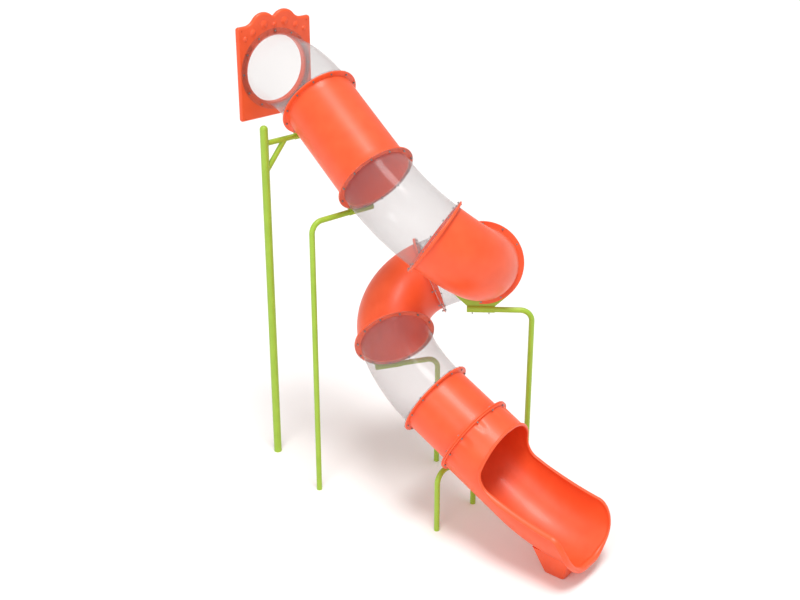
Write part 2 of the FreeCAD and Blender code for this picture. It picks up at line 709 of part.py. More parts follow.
for ring, (uphill, downhill) in zip(rings[1:], joint_flanges):
    has_saddle = ring.centre in saddle_ring_places
    for angle in bolt_angles():
        on_saddle = has_saddle and angle in saddle_angles
        face = -uphill - (saddle_plate if on_saddle else 0)
        nut_base = downhill + washer_height
        row = "saddle_bolts" if on_saddle else "exit_joint_bolts" if ring is exit_ring else "flange_bolts"
        end = nut_base + nut_height + thread_stickout
        fasteners[row].append(at_bolt(ring, bolt(face - washer_height, end), angle))
        fasteners["flange_washers"].append(at_bolt(ring, ring_washer(face - washer_height), angle))
        fasteners["flange_washers"].append(at_bolt(ring, ring_washer(downhill), angle))
        fasteners["flange_nuts"].append(at_bolt(ring, nut(nut_base), angle))

for angle in bolt_angles():
    # turned round, because these bolts are driven uphill into the panel's inserts
    head = hexagon(head_height, clear_flange + washer_height)
    shank_length = clear_flange + washer_height + insert_length
    shank = Part.makeCylinder(bolt_radius, shank_length, Vec(0, 0, -insert_length))
    fasteners["panel_bolts"].append(at_bolt(panel_ring, head.fuse(shank), angle))
    fasteners["flange_washers"].append(at_bolt(panel_ring, ring_washer(clear_flange), angle))

for name, shapes in fasteners.items():
    parts[name] = Part.makeCompound(shapes)

# ---------------------------------------------------------------- files

os.makedirs("parts", exist_ok=True)
for name, shape in parts.items():
    shape.exportStep(os.path.join("parts", name + ".step"))
    print(f"{name}: {len(shape.Solids)} solids, {shape.Volume / 1e6:.3f} litres, valid {shape.isValid()}")
for number, ring in enumerate(rings):
    print(f"joint {number}: centre {ring.centre}, along {ring.along}")
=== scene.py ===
import json
import math

import bmesh
import bpy
from mathutils import Matrix, Vector


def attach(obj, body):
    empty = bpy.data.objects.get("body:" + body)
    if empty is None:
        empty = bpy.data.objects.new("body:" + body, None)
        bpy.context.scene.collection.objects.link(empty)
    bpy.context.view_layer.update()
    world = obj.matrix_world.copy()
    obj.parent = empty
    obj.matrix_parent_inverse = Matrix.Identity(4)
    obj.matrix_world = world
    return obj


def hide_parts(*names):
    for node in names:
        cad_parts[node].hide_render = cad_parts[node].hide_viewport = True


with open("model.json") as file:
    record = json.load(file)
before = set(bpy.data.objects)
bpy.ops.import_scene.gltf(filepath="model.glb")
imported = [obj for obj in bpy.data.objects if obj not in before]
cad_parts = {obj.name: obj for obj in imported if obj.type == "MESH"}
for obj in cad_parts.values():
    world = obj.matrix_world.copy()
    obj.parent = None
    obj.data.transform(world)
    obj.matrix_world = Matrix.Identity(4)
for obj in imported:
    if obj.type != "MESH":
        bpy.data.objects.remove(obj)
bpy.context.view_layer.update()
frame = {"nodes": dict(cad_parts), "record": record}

# Spiral tube slide. Metres; +Z is up, -Y is the way a rider leaves the deck, and the origin
# is the centre of the entry post's foot.

UP = Vector((0, 0, 1))

# ---------------------------------------------------------------- sizes shared with the frame

tube_radius = 0.394
moulded_wall = 0.006
moulded_flange = 0.020
moulded_rounding = 0.0095
clear_wall = 0.005
clear_flange = 0.008
clear_rounding = 0.0025
flange_root = 0.006         # hollow curve between a flange and its tube
flange_radius = 0.452
exit_flange_radius = 0.472
chute_radius = 0.438
chute_wall = 0.007
bolts_per_joint = 12

entry_bend_radius = 1.322
entry_collar_length = 0.135
gentle_bend_radius = 1.630
spiral_bend_radius = 0.604
easing_turn = 30.5
spiral_turn = 91.5
upper_straight_length = 1.152
lower_straight_length = 0.584

chute_straight_reach = 0.700
chute_curve_radius = 1.500
chute_level_run = 0.130
hood_reach = 0.355
hood_lean = math.radians(13.0)
hood_corner_round = 0.190
rim_start_drop = 0.048
rim_start_slope = math.radians(22.5)
rim_radius = 3.865
lip_reach = 1.489
lip_rise = 0.098
rim_end_length = 0.215
rim_end_reach = lip_reach - rim_end_length
foot_inset = 0.194
foot_length = 0.240
foot_half_width = 0.180
foot_flare = 0.100
foot_rise = 0.126
foot_corner_round = 0.030
foot_base_round = 0.006

sides = 144                 # points round a tube
chute_sides = 180


# ---------------------------------------------------------------- the tube's route

def joint_frame(centre, along):
    """A joint plane: x to the rider's left, y up the plane and z downhill."""
    left = UP.cross(along).normalized()
    matrix = Matrix((left, along.cross(left), along)).transposed().to_4x4()
    matrix.translation = centre
    return matrix


def bend_plane(start, turn, radius, roll, place):
    """A plane along a bend that turns towards the roll direction, measured from the left upwards."""
    angle = math.radians(roll)
    hinge = Vector((radius * math.cos(angle), radius * math.sin(angle), 0))
    axis = Vector((-math.sin(angle), math.cos(angle), 0))
    turned = Matrix.Rotation(math.radians(turn) * place, 4, axis)
    return start @ Matrix.Translation(hinge) @ turned @ Matrix.Translation(-hinge)


def next_joint(last):
    """The next section's first plane, with its y axis set upright again."""
    return joint_frame(last.translation, last.to_3x3() @ UP)


def mesh_object(name, bm):
    mesh = bpy.data.meshes.new(name)
    bm.to_mesh(mesh)
    bm.free()
    made = bpy.data.objects.new(name, mesh)
    bpy.context.scene.collection.objects.link(made)
    return made


def smooth(made, angle=0.6):
    """Smooth shading, but edges sharper than the angle stay crisp."""
    bm = bmesh.new()
    bm.from_mesh(made.data)
    for face in bm.faces:
        face.smooth = True
    for edge in bm.edges:
        edge.smooth = len(edge.link_faces) == 2 and edge.calc_face_angle(0) < angle
    bm.to_mesh(made.data)
    bm.free()
    return made


def add_rings(bm, rows, segments, closed=True):
    """Extrudes a circle from plane to plane. Rows hold a matrix and a radius."""
    before = set(bm.edges)
    bmesh.ops.create_circle(bm, cap_ends=False, segments=segments, radius=rows[0][1], matrix=rows[0][0])
    first = ring = [edge for edge in bm.edges if edge not in before]
    for (plane, radius), (next_plane, next_radius) in zip(rows, rows[1:]):
        made = bmesh.ops.extrude_edge_only(bm, edges=ring)["geom"]
        verts = {item for item in made if isinstance(item, bmesh.types.BMVert)}
        ring = [item for item in made if isinstance(item, bmesh.types.BMEdge) and set(item.verts) <= verts]
        step = next_plane @ Matrix.Scale(next_radius / radius, 4) @ plane.inverted()
        bmesh.ops.transform(bm, matrix=step, verts=list(verts))
    if closed:
        bmesh.ops.bridge_loops(bm, edges=first + ring)
    return first, ring


def rounded_rim(thickness, inner, outer, rounding, steps=5):
    """Distances along and radii of a flange's rim, from its inner corner to its tube side."""
    points = [(0.0, inner), (0.0, outer - rounding)]
    for k in range(1, steps):
        turn = math.pi / 2 * k / steps
        points.append((rounding * (1 - math.cos(turn)), outer - rounding * (1 - math.sin(turn))))
    points.append((rounding, outer))
    points.append((thickness - rounding, outer))
    for k in range(1, steps):
        turn = math.pi / 2 * k / steps
        points.append((thickness - rounding * (1 - math.sin(turn)), outer - rounding * (1 - math.cos(turn))))
    points.append((thickness, outer - rounding))
    return points


def tube_rows(planes_at, length, wall, thickness, rounding, end_radius, body_steps):
    """The closed section of a flanged tube, as rows of plane and radius."""
    inner = tube_radius - wall
    bow = flange_root * 0.3
    start = rounded_rim(thickness, inner, flange_radius, rounding)
    start += [(thickness, tube_radius + flange_root), (thickness + bow, tube_radius + bow)]
    end = [(length - thickness - bow, tube_radius + bow), (length - thickness, tube_radius + flange_root)]
    end += [(length - s, r) for s, r in reversed(rounded_rim(thickness, inner, end_radius, rounding))]
    first, last = thickness + flange_root, length - thickness - flange_root
    body = [(first + (last - first) * k / body_steps, tube_radius) for k in range(body_steps + 1)]
    bore = [(length * (1 - k / body_steps), inner) for k in range(1, body_steps)]
    outline = start + body + end + bore
    return list(zip(planes_at([s / length for s, _ in outline]), [r for _, r in outline]))


def tube_section(name, planes_at, length, kind, end_radius, body_steps):
    wall, thickness, rounding = kind
    bm = bmesh.new()
    add_rings(bm, tube_rows(planes_at, length, wall, thickness, rounding, end_radius, body_steps), sides)
    bmesh.ops.recalc_face_normals(bm, faces=bm.faces[:])
    made = smooth(mesh_object(name, bm))
    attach(made, "root")
    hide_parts(name.replace("_shell", ""))
    return made


MOULDED = (moulded_wall, moulded_flange, moulded_rounding)
CLEAR = (clear_wall, clear_flange, clear_rounding)

record = frame["record"]
mounts = {mount["name"]: Vector(mount["pos_m"]) for mount in record["mounts"]}
deck = mounts["deck_bolts"]
panel_thickness = 0.060
centre_above_bolts = 0.0115
panel_centre = Vector((deck.x, deck.y - panel_thickness, deck.z + centre_above_bolts))
panel_plane = joint_frame(panel_centre, Vector((0, -1, 0)))

joints = [panel_plane]
shells = {}


def add_bend(node, turn, radius, roll, kind, collar=0.0):
    """A bend, with a straight collar before it where the length isn't zero."""
    start = joints[-1]
    steps = max(8, round(turn / 2.5))
    length = collar + math.radians(turn) * radius

    def planes_at(spots):
        planes = []
        for run in [spot * length for spot in spots]:
            first = start @ Matrix.Translation((0, 0, min(run, collar)))
            place = max(run - collar, 0) / (length - collar)
            planes.append(bend_plane(first, turn, radius, roll, place))
        return planes

    shells[node] = tube_section(node + "_shell", planes_at, length, kind, flange_radius, steps)
    joints.append(next_joint(planes_at([1.0])[0]))


def add_straight(node, length, kind, end_radius):
    """A straight section with a flange at both ends."""
    start = joints[-1]

    def planes_at(spots):
        return [start @ Matrix.Translation((0, 0, length * spot)) for spot in spots]

    shells[node] = tube_section(node + "_shell", planes_at, length, kind, end_radius, 12)
    joints.append(next_joint(planes_at([1.0])[0]))


add_bend("clear_entry_elbow", easing_turn, entry_bend_radius, -90.0, CLEAR, entry_collar_length)
add_straight("upper_straight_tube", upper_straight_length, MOULDED, flange_radius)
add_bend("upper_clear_bend", easing_turn, gentle_bend_radius, -16.6, CLEAR)
add_bend("upper_spiral_bend", spiral_turn, spiral_bend_radius, -18.9, MOULDED)
add_bend("middle_clear_bend", spiral_turn, spiral_bend_radius, -24.1, CLEAR)
add_bend("lower_spiral_bend", spiral_turn, spiral_bend_radius, -27.2, MOULDED)
add_bend("lower_clear_bend", easing_turn, gentle_bend_radius, -13.0, CLEAR)
add_straight("lower_straight_tube", lower_straight_length, MOULDED, exit_flange_radius)
exit_plane = joints[-1]


# ---------------------------------------------------------------- exit chute

exit_centre = exit_plane.translation
exit_along = exit_plane.to_3x3() @ UP
exit_level = Vector((exit_along.x, exit_along.y, 0)).normalized()
exit_side = UP.cross(exit_level)
exit_slope = math.asin(-exit_along.z)
straight_run = chute_straight_reach / math.cos(exit_slope)
curve_run = chute_curve_radius * exit_slope
chute_run = straight_run + curve_run + chute_level_run
chute_plan = Matrix((exit_level, exit_side, UP)).transposed().to_4x4()
chute_plan.translation = Vector((exit_centre.x, exit_centre.y, 0))


def chute_axis(run):
    """Level reach, height and downward slope of the chute's centre line after a run along it."""
    bend = min(max(run - straight_run, 0) / chute_curve_radius, exit_slope)
    level = max(run - straight_run - curve_run, 0)
    first = min(run, straight_run)
    reach = first * math.cos(exit_slope) + level
    height = exit_centre.z - first * math.sin(exit_slope)
    reach += chute_curve_radius * (math.sin(exit_slope) - math.sin(exit_slope - bend))
    height -= chute_curve_radius * (math.cos(exit_slope - bend) - math.cos(exit_slope))
    return reach, height, exit_slope - bend


def chute_plane(run):
    reach, height, slope = chute_axis(run)
    along = exit_level * math.cos(slope) - UP * math.sin(slope)
    return joint_frame(chute_plan @ Vector((reach, 0, height)), along)


chute_bottom = chute_axis(chute_run)[1] - chute_radius
opening_top = 1.1           # how far up the hood's slanted edge the opening's outline starts
opening_below = 0.2         # how far under the chute the outline ends


def rim_height(reach):
    """Height of the trough's side edge at a level reach, before the hood's corner is rounded."""
    here = math.asin(math.sin(rim_start_slope) - (reach - hood_reach) / rim_radius)
    start = exit_centre.z - hood_reach * math.tan(exit_slope) - rim_start_drop
    return start - rim_radius * (math.cos(here) - math.cos(rim_start_slope))


def opening_line():
    """The opening's edge in reach and height: down the hood, along the rim and round to the lip."""
    corner = Vector((hood_reach, rim_height(hood_reach)))
    up_hood = Vector((math.sin(hood_lean), math.cos(hood_lean)))
    down_rim = Vector((math.cos(rim_start_slope), -math.sin(rim_start_slope)))
    half = up_hood.angle(down_rim) / 2
    centre = corner + (up_hood + down_rim).normalized() * (hood_corner_round / math.sin(half))
    first = math.pi - hood_lean
    last = 1.5 * math.pi - rim_start_slope
    points = [corner + up_hood * opening_top]
    for k in range(17):
        turn = first + (last - first) * k / 16
        points.append(centre + Vector((math.cos(turn), math.sin(turn))) * hood_corner_round)
    start = points[-1].x
    above = points[-1].y - rim_height(start)
    for k in range(1, 25):
        reach = start + (rim_end_reach - start) * k / 24
        points.append(Vector((reach, rim_height(reach) + above * (1 - k / 24))))
    end = points[-1]
    lip_height = chute_bottom + lip_rise
    for k in range(1, 17):
        turn = math.pi / 2 * k / 16
        points.append(Vector((end.x + (lip_reach - end.x) * math.sin(turn),
                              lip_height + (end.y - lip_height) * math.cos(turn))))
    points.append(Vector((lip_reach, chute_bottom - opening_below)))
    return points


flute_depth = 0.015
flute_half_angle = math.radians(7.0)
flute_ramp = 0.010
flute_end = 0.165
collar_rows = [0.026, 0.032, 0.045, 0.06, 0.08, 0.1, 0.12, 0.14, 0.16, 0.175, 0.2]


def flute(angle, run):
    """Depth of the shallow moulded flutes beside the joint's bolts."""
    pitch = 2 * math.pi / bolts_per_joint
    off = (angle + math.pi / 2) % pitch
    off = min(off, pitch - off)
    across = max(0.0, 1 - (off / flute_half_angle) ** 2) ** 1.5
    along = min(1.0, max(0.0, (run - moulded_flange) / flute_ramp)) * max(0.0, 1 - run / flute_end) ** 0.8
    return flute_depth * across * along


def chute_rows():
    """Rows of the chute's full round sweep, flange first and closed with an inner wall."""
    inner = chute_radius - chute_wall
    bore = tube_radius - moulded_wall
    first = collar_rows[-1]
    body = collar_rows + [first + (chute_run - first) * k / 60 for k in range(1, 61)]
    rows = rounded_rim(moulded_flange, bore, exit_flange_radius, moulded_rounding)
    rows += [(moulded_flange, chute_radius + 0.004), (moulded_flange + 0.0015, chute_radius + 0.001)]
    rows += [(s, chute_radius) for s in body]
    rows += [(s, inner) for s in reversed(body)]
    rows += [(moulded_flange + 0.0005, tube_radius + 0.002), (moulded_flange - 0.0005, bore)]
    return [(chute_plane(s), r) for s, r in rows]


def full_chute():
    """The chute as a whole round sweep, with its flutes pressed in, before the opening is cut."""
    bm = bmesh.new()
    add_rings(bm, chute_rows(), chute_sides)
    bmesh.ops.recalc_face_normals(bm, faces=bm.faces[:])
    back = exit_plane.inverted()
    for vert in bm.verts:
        spot = back @ vert.co
        if not moulded_flange < spot.z < collar_rows[-1]:
            continue
        out = Vector((spot.x, spot.y, 0))
        depth = flute(math.atan2(spot.y, spot.x), spot.z)
        if out.length > chute_radius - chute_wall - 0.002 and depth:
            spot -= out.normalized() * depth
            vert.co = exit_plane @ spot
    return smooth(mesh_object("exit_chute_shell", bm))


def side_prism(name, points, half_width):
    """A prism across the chute from points of reach and height."""
    bm = bmesh.new()
    verts = [bm.verts.new((x, -half_width, z)) for x, z in points]
    face = bm.faces.new(verts)
    made = bmesh.ops.extrude_face_region(bm, geom=[face])["geom"]
    moved = [item for item in made if isinstance(item, bmesh.types.BMVert)]
    bmesh.ops.translate(bm, vec=(0, 2 * half_width, 0), verts=moved)
    bmesh.ops.transform(bm, matrix=chute_plan, verts=bm.verts[:])
    bmesh.ops.recalc_face_normals(bm, faces=bm.faces[:])
    return mesh_object(name, bm)


def carve(made, cutter):
    """Cuts one mesh out of another and keeps the result."""
    cut = made.modifiers.new("cut", "BOOLEAN")
    cut.operation = "DIFFERENCE"
    cut.solver = "EXACT"
    cut.object = cutter
    bpy.context.view_layer.update()
    done = bpy.data.meshes.new_from_object(made.evaluated_get(bpy.context.evaluated_depsgraph_get()))
    made.modifiers.clear()
    made.data = done
    bpy.data.objects.remove(cutter)


edge_step = 0.012           # spacing of the points along the rolled rim


def chute_edge():
    """Points of the cut edge on the right: reach, height, run, rise over the axis and side reach."""
    points = []
    line = opening_line()
    for (x0, z0), (x1, z1) in zip(line, line[1:]):
        steps = max(1, round(math.hypot(x1 - x0, z1 - z0) / edge_step))
        points += [(x0 + (x1 - x0) * k / steps, z0 + (z1 - z0) * k / steps) for k in range(steps)]
    found = []
    middle = chute_radius - chute_wall / 2
    for reach, height in points:
        low, high = 0.0, chute_run
        for _ in range(40):
            run = (low + high) / 2
            x, z, slope = chute_axis(run)
            ahead = (reach - x) * math.cos(slope) - (height - z) * math.sin(slope)
            low, high = (run, high) if ahead > 0 else (low, run)
        x, z, slope = chute_axis(run)
        rise = (reach - x) * math.sin(slope) + (height - z) * math.cos(slope)
        if abs(rise) < middle:
            found.append((reach, height, run, rise, math.sqrt(middle ** 2 - rise ** 2)))
    return found


def blend(start, end, value):
    """Eases from 0 to 1 as the value goes from start to end."""
    share = min(1.0, max(0.0, (value - start) / (end - start)))
    return share * share * (3 - 2 * share)


roll_half = 0.015           # half the thickness of the roll on the hood
roll_overlap = 0.010        # how far the roll reaches inwards from the wall's middle
flare_tilt = math.radians(32)


def rolled_rim():
    """The rolled edge: narrow on the hood, a broad flare down both sides and full at the lip."""
    right = chute_edge()
    loop = [(reach, -side, height, run, rise) for reach, height, run, rise, side in right]
    loop += [(reach, side, height, run, rise) for reach, height, run, rise, side in reversed(right)]
    spots = [chute_plan @ Vector((reach, side, height)) for reach, side, height, _, _ in loop]
    outs = []
    for reach, side, height, run, rise in loop:
        _, _, slope = chute_axis(run)
        out = exit_side * side + (exit_level * math.sin(slope) + UP * math.cos(slope)) * rise
        outs.append(out.normalized())
    count = len(spots)
    bm = bmesh.new()
    rows = []
    for k in range(count):
        reach, side = loop[k][0], loop[k][1]
        flare = blend(hood_reach + 0.02, hood_reach + 0.30, reach)
        lip = blend(rim_end_reach - 0.05, lip_reach, reach) * blend(0.34, 0.12, abs(side))
        tangent = (spots[(k + 1) % count] - spots[k - 1]).normalized()
        out = (outs[k] - tangent * outs[k].dot(tangent)).normalized()
        across = tangent.cross(out)
        if across.dot(exit_level + UP) < 0:
            across = -across
        tilt = flare_tilt * flare * (1 - lip)
        wide = out * math.cos(tilt) - across * math.sin(tilt)
        tall = out * math.sin(tilt) + across * math.cos(tilt)
        half_wide = roll_half + 0.017 * flare + 0.006 * lip
        half_tall = roll_half + 0.002 * flare + 0.021 * lip
        plane = Matrix((tall * half_tall, wide * half_wide, tall.cross(wide))).transposed().to_4x4()
        plane.translation = spots[k] + wide * (half_wide - roll_overlap) - tall * (half_tall - roll_half)
        rows.append((plane, 1.0))
    add_rings(bm, rows, 20)
    bmesh.ops.recalc_face_normals(bm, faces=bm.faces[:])
    return smooth(mesh_object("exit_chute_rim", bm), 1.0)


chute = full_chute()
opening_outline = opening_line()
opening_end = lip_reach + 0.9
opening_outline += [Vector((opening_end, chute_bottom - opening_below)),
                    Vector((opening_end, opening_outline[0].y))]
carve(chute, side_prism("opening", opening_outline, 1.0))
rim = rolled_rim()


def round_edges(bm, edges, radius, segments):
    bmesh.ops.bevel(bm, geom=edges, offset=radius, segments=segments, profile=0.5,
                    affect="EDGES", material=-1)


def moulded_foot():
    """The block under the lip, wider at the top, cut to the underside of the chute."""
    bm = bmesh.new()
    bmesh.ops.create_cube(bm, size=2.0)
    middle = lip_reach - foot_inset - foot_length / 2
    for vert in bm.verts:
        at_top = vert.co.z > 0
        spread = foot_flare if at_top else 0.0
        vert.co = Vector((middle + (foot_length / 2 + spread) * vert.co.x,
                          (foot_half_width + spread) * vert.co.y,
                          chute_bottom + foot_rise if at_top else 0.0))
    upright = [edge for edge in bm.edges if abs(edge.verts[0].co.z - edge.verts[1].co.z) > 0.1]
    round_edges(bm, upright, foot_corner_round, 6)
    base = [edge for edge in bm.edges if all(vert.co.z < 0.001 for vert in edge.verts)]
    round_edges(bm, base, foot_base_round, 3)
    bmesh.ops.transform(bm, matrix=chute_plan, verts=bm.verts[:])
    foot = mesh_object("exit_chute_foot", bm)
    core = bmesh.new()
    rows = [(chute_plane(chute_run * k / 60), chute_radius - chute_wall / 2) for k in range(61)]
    first, last = add_rings(core, rows, 120, closed=False)
    bmesh.ops.contextual_create(core, geom=first)
    bmesh.ops.contextual_create(core, geom=last)
    bmesh.ops.recalc_face_normals(core, faces=core.faces[:])
    carve(foot, mesh_object("core", core))
    return smooth(foot, 0.7)


foot = moulded_foot()
for piece in (chute, rim, foot):
    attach(piece, "root")
    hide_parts("exit_chute")


# ---------------------------------------------------------------- entry panel

panel_half_width = 0.477
panel_below_centre = 0.530
panel_shoulder_height = 0.522
panel_crown_height = 0.640
panel_crown_offset = 0.133
panel_crown_radius = 0.165
notch_round = 0.024
shoulder_sweep = 0.130
shoulder_round = 0.032
base_round = 0.028
panel_edge_round = 0.026
panel_hole_radius = 0.374
deck_hole_radius = 0.0065
deck_hole_side_margin = 0.055
deck_hole_base_margin = 0.030
deck_hole_top_margin = 0.045
bubble_height = 0.018
# each dome's angle from the top in degrees, its distance outside the tube's flange and its radius
bubbles = [(0.0, 0.042, 0.026), (14.5, 0.076, 0.044), (32.0, 0.074, 0.035), (44.3, 0.094, 0.025)]


def arc(centre, radius, first, last, steps):
    """Points on an arc between two angles in degrees, both ends included."""
    turns = [math.radians(first + (last - first) * k / steps) for k in range(steps + 1)]
    return [Vector((centre[0] + radius * math.cos(t), centre[1] + radius * math.sin(t))) for t in turns]


def panel_outline(inset=0.0):
    """The panel's edge anticlockwise about the tube's centre, with two crowns and a notch."""
    half, low, high = panel_half_width, -panel_below_centre, panel_shoulder_height
    crown = Vector((panel_crown_offset, panel_crown_height - panel_crown_radius))
    sweep_rise = high + shoulder_sweep - crown.y
    sweep_reach = panel_crown_radius + shoulder_sweep
    sweep = Vector((crown.x + math.sqrt(sweep_reach ** 2 - sweep_rise ** 2), high + shoulder_sweep))
    notch = Vector((0, crown.y + math.sqrt((panel_crown_radius + notch_round) ** 2 - crown.x ** 2)))
    to_sweep = math.degrees(math.atan2(sweep.y - crown.y, sweep.x - crown.x))
    to_notch = math.degrees(math.atan2(notch.y - crown.y, notch.x - crown.x))
    right = arc((half - base_round, low + base_round), base_round - inset, -90, 0, 6)
    right += arc((half - shoulder_round, high - shoulder_round), shoulder_round - inset, 0, 90, 6)
    right += arc(sweep, shoulder_sweep + inset, 270, to_sweep + 180, 12)
    right += arc(crown, panel_crown_radius - inset, to_sweep, to_notch, 20)[1:]
    right += arc(notch, notch_round + inset, to_notch - 180, -90, 7)[1:]
    left = [Vector((-point.x, point.y)) for point in reversed(right[:-1])]
    return right + left


def deck_hole_places():
    side = panel_half_width - deck_hole_side_margin
    heights = (deck_hole_base_margin - panel_below_centre, panel_shoulder_height - deck_hole_top_margin)
    return [(x, y) for x in (-side, side) for y in heights]


def panel_body():
    """The panel's rounded sides, row by row from the front, and its two faces with their holes."""
    rows = [(panel_edge_round + 0.001, 0.0)]
    for k in range(9):
        turn = math.pi / 2 * k / 8
        rows.append((panel_edge_round * (1 - math.sin(turn)), panel_edge_round * (math.cos(turn) - 1)))
    rows += [(inset, -panel_thickness - depth) for inset, depth in reversed(rows)]
    bm = bmesh.new()
    verts = [bm.verts.new((*point, 0)) for point in panel_outline(rows[0][0])]
    first = ring = [bm.edges.new(pair) for pair in zip(verts, verts[1:] + verts[:1])]
    for inset, depth in rows[1:]:
        made = bmesh.ops.extrude_edge_only(bm, edges=ring)["geom"]
        ring = [item for item in made if isinstance(item, bmesh.types.BMEdge)
                and all(vert in made for vert in item.verts)]
        moved = [item for item in made if isinstance(item, bmesh.types.BMVert)]
        for vert, point in zip(moved, panel_outline(inset)):
            vert.co = (*point, depth)
    outlines = (list(first), list(ring))
    holes = [(panel_hole_radius, 0, 0, sides)]
    holes += [(deck_hole_radius, x, y, 24) for x, y in deck_hole_places()]
    for radius, x, y, segments in holes:
        ends = []
        for depth in (0.0, -panel_thickness):
            before = set(bm.edges)
            spot = Matrix.Translation((x, y, depth))
            bmesh.ops.create_circle(bm, segments=segments, radius=radius, matrix=spot)
            ends.append([edge for edge in bm.edges if edge not in before])
        bmesh.ops.bridge_loops(bm, edges=ends[0] + ends[1])
        for outline, end in zip(outlines, ends):
            outline += end
    for outline in outlines:
        bmesh.ops.triangle_fill(bm, use_beauty=True, use_dissolve=False, edges=outline)
    bmesh.ops.recalc_face_normals(bm, faces=bm.faces[:])
    bmesh.ops.transform(bm, matrix=panel_plane, verts=bm.verts[:])
    return smooth(mesh_object("entry_panel_body", bm), 0.5)


def panel_bubbles():
    """Round domes on the panel's front, each with a small hollow curve at its root."""
    bm = bmesh.new()
    for angle, gap, radius in bubbles:
        ball = (radius ** 2 + bubble_height ** 2) / (2 * bubble_height)
        reach = flange_radius + gap
        turn = math.radians(angle)
        for sign in ((1, -1) if angle else (1,)):
            spot = Vector((sign * reach * math.sin(turn), reach * math.cos(turn), 0))
            profile = [(-0.002, radius + 0.003), (0.0006, radius + 0.0022), (0.0022, radius - 0.0008)]
            for k in range(1, 9):
                out = radius * 0.955 * (1 - k / 9)
                profile.append((bubble_height - ball + math.sqrt(ball ** 2 - out ** 2), out))
            rows = [(Matrix.Translation(spot + Vector((0, 0, rise))), out) for rise, out in profile]
            _, last = add_rings(bm, rows, 40, closed=False)
            bmesh.ops.contextual_create(bm, geom=last)
    bmesh.ops.recalc_face_normals(bm, faces=bm.faces[:])
    bmesh.ops.transform(bm, matrix=panel_plane, verts=bm.verts[:])
    return smooth(mesh_object("entry_panel_bubbles", bm), 0.9)


panel_pieces = [panel_body(), panel_bubbles()]
for piece in panel_pieces:
    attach(piece, "root")
    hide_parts("entry_panel")


# ---------------------------------------------------------------- finishes

def group(name, inputs, outputs):
    """An empty shader group with named number inputs and outputs."""
    made = bpy.data.node_groups.new(name, "ShaderNodeTree")
    for label, default in inputs:
        socket = made.interface.new_socket(label, in_out="INPUT", socket_type="NodeSocketFloat")
        socket.default_value = default
    for label in outputs:
        made.interface.new_socket(label, in_out="OUTPUT", socket_type="NodeSocketFloat")
    return made, made.nodes.new("NodeGroupInput"), made.nodes.new("NodeGroupOutput")


def add_node(tree, kind, **values):
    node = tree.nodes.new(kind)
    for key, value in values.items():
        setattr(node, key, value)
    return node


def math_node(tree, operation, a, b=None):
    node = add_node(tree, "ShaderNodeMath", operation=operation)
    for socket, value in zip(node.inputs, (a, b)):
        if isinstance(value, (int, float)):
            socket.default_value = value
        elif value is not None:
            tree.links.new(value, socket)
    return node.outputs[0]


def noise(tree, vector, scale, detail=2.0, roughness=0.5):
    node = add_node(tree, "ShaderNodeTexNoise")
    node.inputs["Scale"].default_value = scale
    node.inputs["Detail"].default_value = detail
    node.inputs["Roughness"].default_value = roughness
    tree.links.new(vector, node.inputs["Vector"])
    return node.outputs["Fac"]


def surface_grain():
    """Fine moulded or powder-coated texture with slow waves under it."""
    inputs = [("Grain Scale", 900.0), ("Wave Scale", 6.0)]
    tree, into, out = group("surface_grain", inputs, ["Height", "Tone"])
    spot = tree.nodes.new("ShaderNodeTexCoord").outputs["Object"]
    fine = add_node(tree, "ShaderNodeTexNoise")
    fine.inputs["Detail"].default_value = 3.0
    tree.links.new(spot, fine.inputs["Vector"])
    tree.links.new(into.outputs["Grain Scale"], fine.inputs["Scale"])
    slow = add_node(tree, "ShaderNodeTexNoise")
    slow.inputs["Detail"].default_value = 1.0
    tree.links.new(spot, slow.inputs["Vector"])
    tree.links.new(into.outputs["Wave Scale"], slow.inputs["Scale"])
    height = math_node(tree, "MULTIPLY_ADD", slow.outputs["Fac"], 6.0)
    height.node.inputs[2].default_value = 0.0
    tree.links.new(fine.outputs["Fac"], height.node.inputs[2])
    tree.links.new(height, out.inputs["Height"])
    tree.links.new(slow.outputs["Fac"], out.inputs["Tone"])
    return tree


def weathering():
    """Dust that settles on what faces up, in soft patches, and grime that runs down."""
    inputs = [("Dust", 0.5), ("Patch Scale", 3.0)]
    tree, into, out = group("weathering", inputs, ["Dust Mask", "Streak Mask"])
    spot = tree.nodes.new("ShaderNodeTexCoord").outputs["Object"]
    normal = tree.nodes.new("ShaderNodeNewGeometry").outputs["Normal"]
    split = tree.nodes.new("ShaderNodeSeparateXYZ")
    tree.links.new(normal, split.inputs[0])
    up = math_node(tree, "MAXIMUM", split.outputs["Z"], 0.0)
    patch = add_node(tree, "ShaderNodeTexNoise")
    patch.inputs["Detail"].default_value = 6.0
    patch.inputs["Roughness"].default_value = 0.65
    tree.links.new(spot, patch.inputs["Vector"])
    tree.links.new(into.outputs["Patch Scale"], patch.inputs["Scale"])
    dusty = math_node(tree, "MULTIPLY", math_node(tree, "POWER", up, 2.0), patch.outputs["Fac"])
    tree.links.new(math_node(tree, "MULTIPLY", dusty, into.outputs["Dust"]), out.inputs["Dust Mask"])
    stretch = tree.nodes.new("ShaderNodeMapping")
    stretch.inputs["Scale"].default_value = (22.0, 22.0, 0.9)
    tree.links.new(spot, stretch.inputs["Vector"])
    runs = noise(tree, stretch.outputs[0], 1.0, 4.0, 0.6)
    steep = math_node(tree, "SUBTRACT", 1.0, math_node(tree, "ABSOLUTE", split.outputs["Z"]))
    tree.links.new(math_node(tree, "MULTIPLY", runs, steep), out.inputs["Streak Mask"])
    return tree


GRAIN = surface_grain()
WEATHER = weathering()
relief_height = 0.0004
streak_strength = 0.22


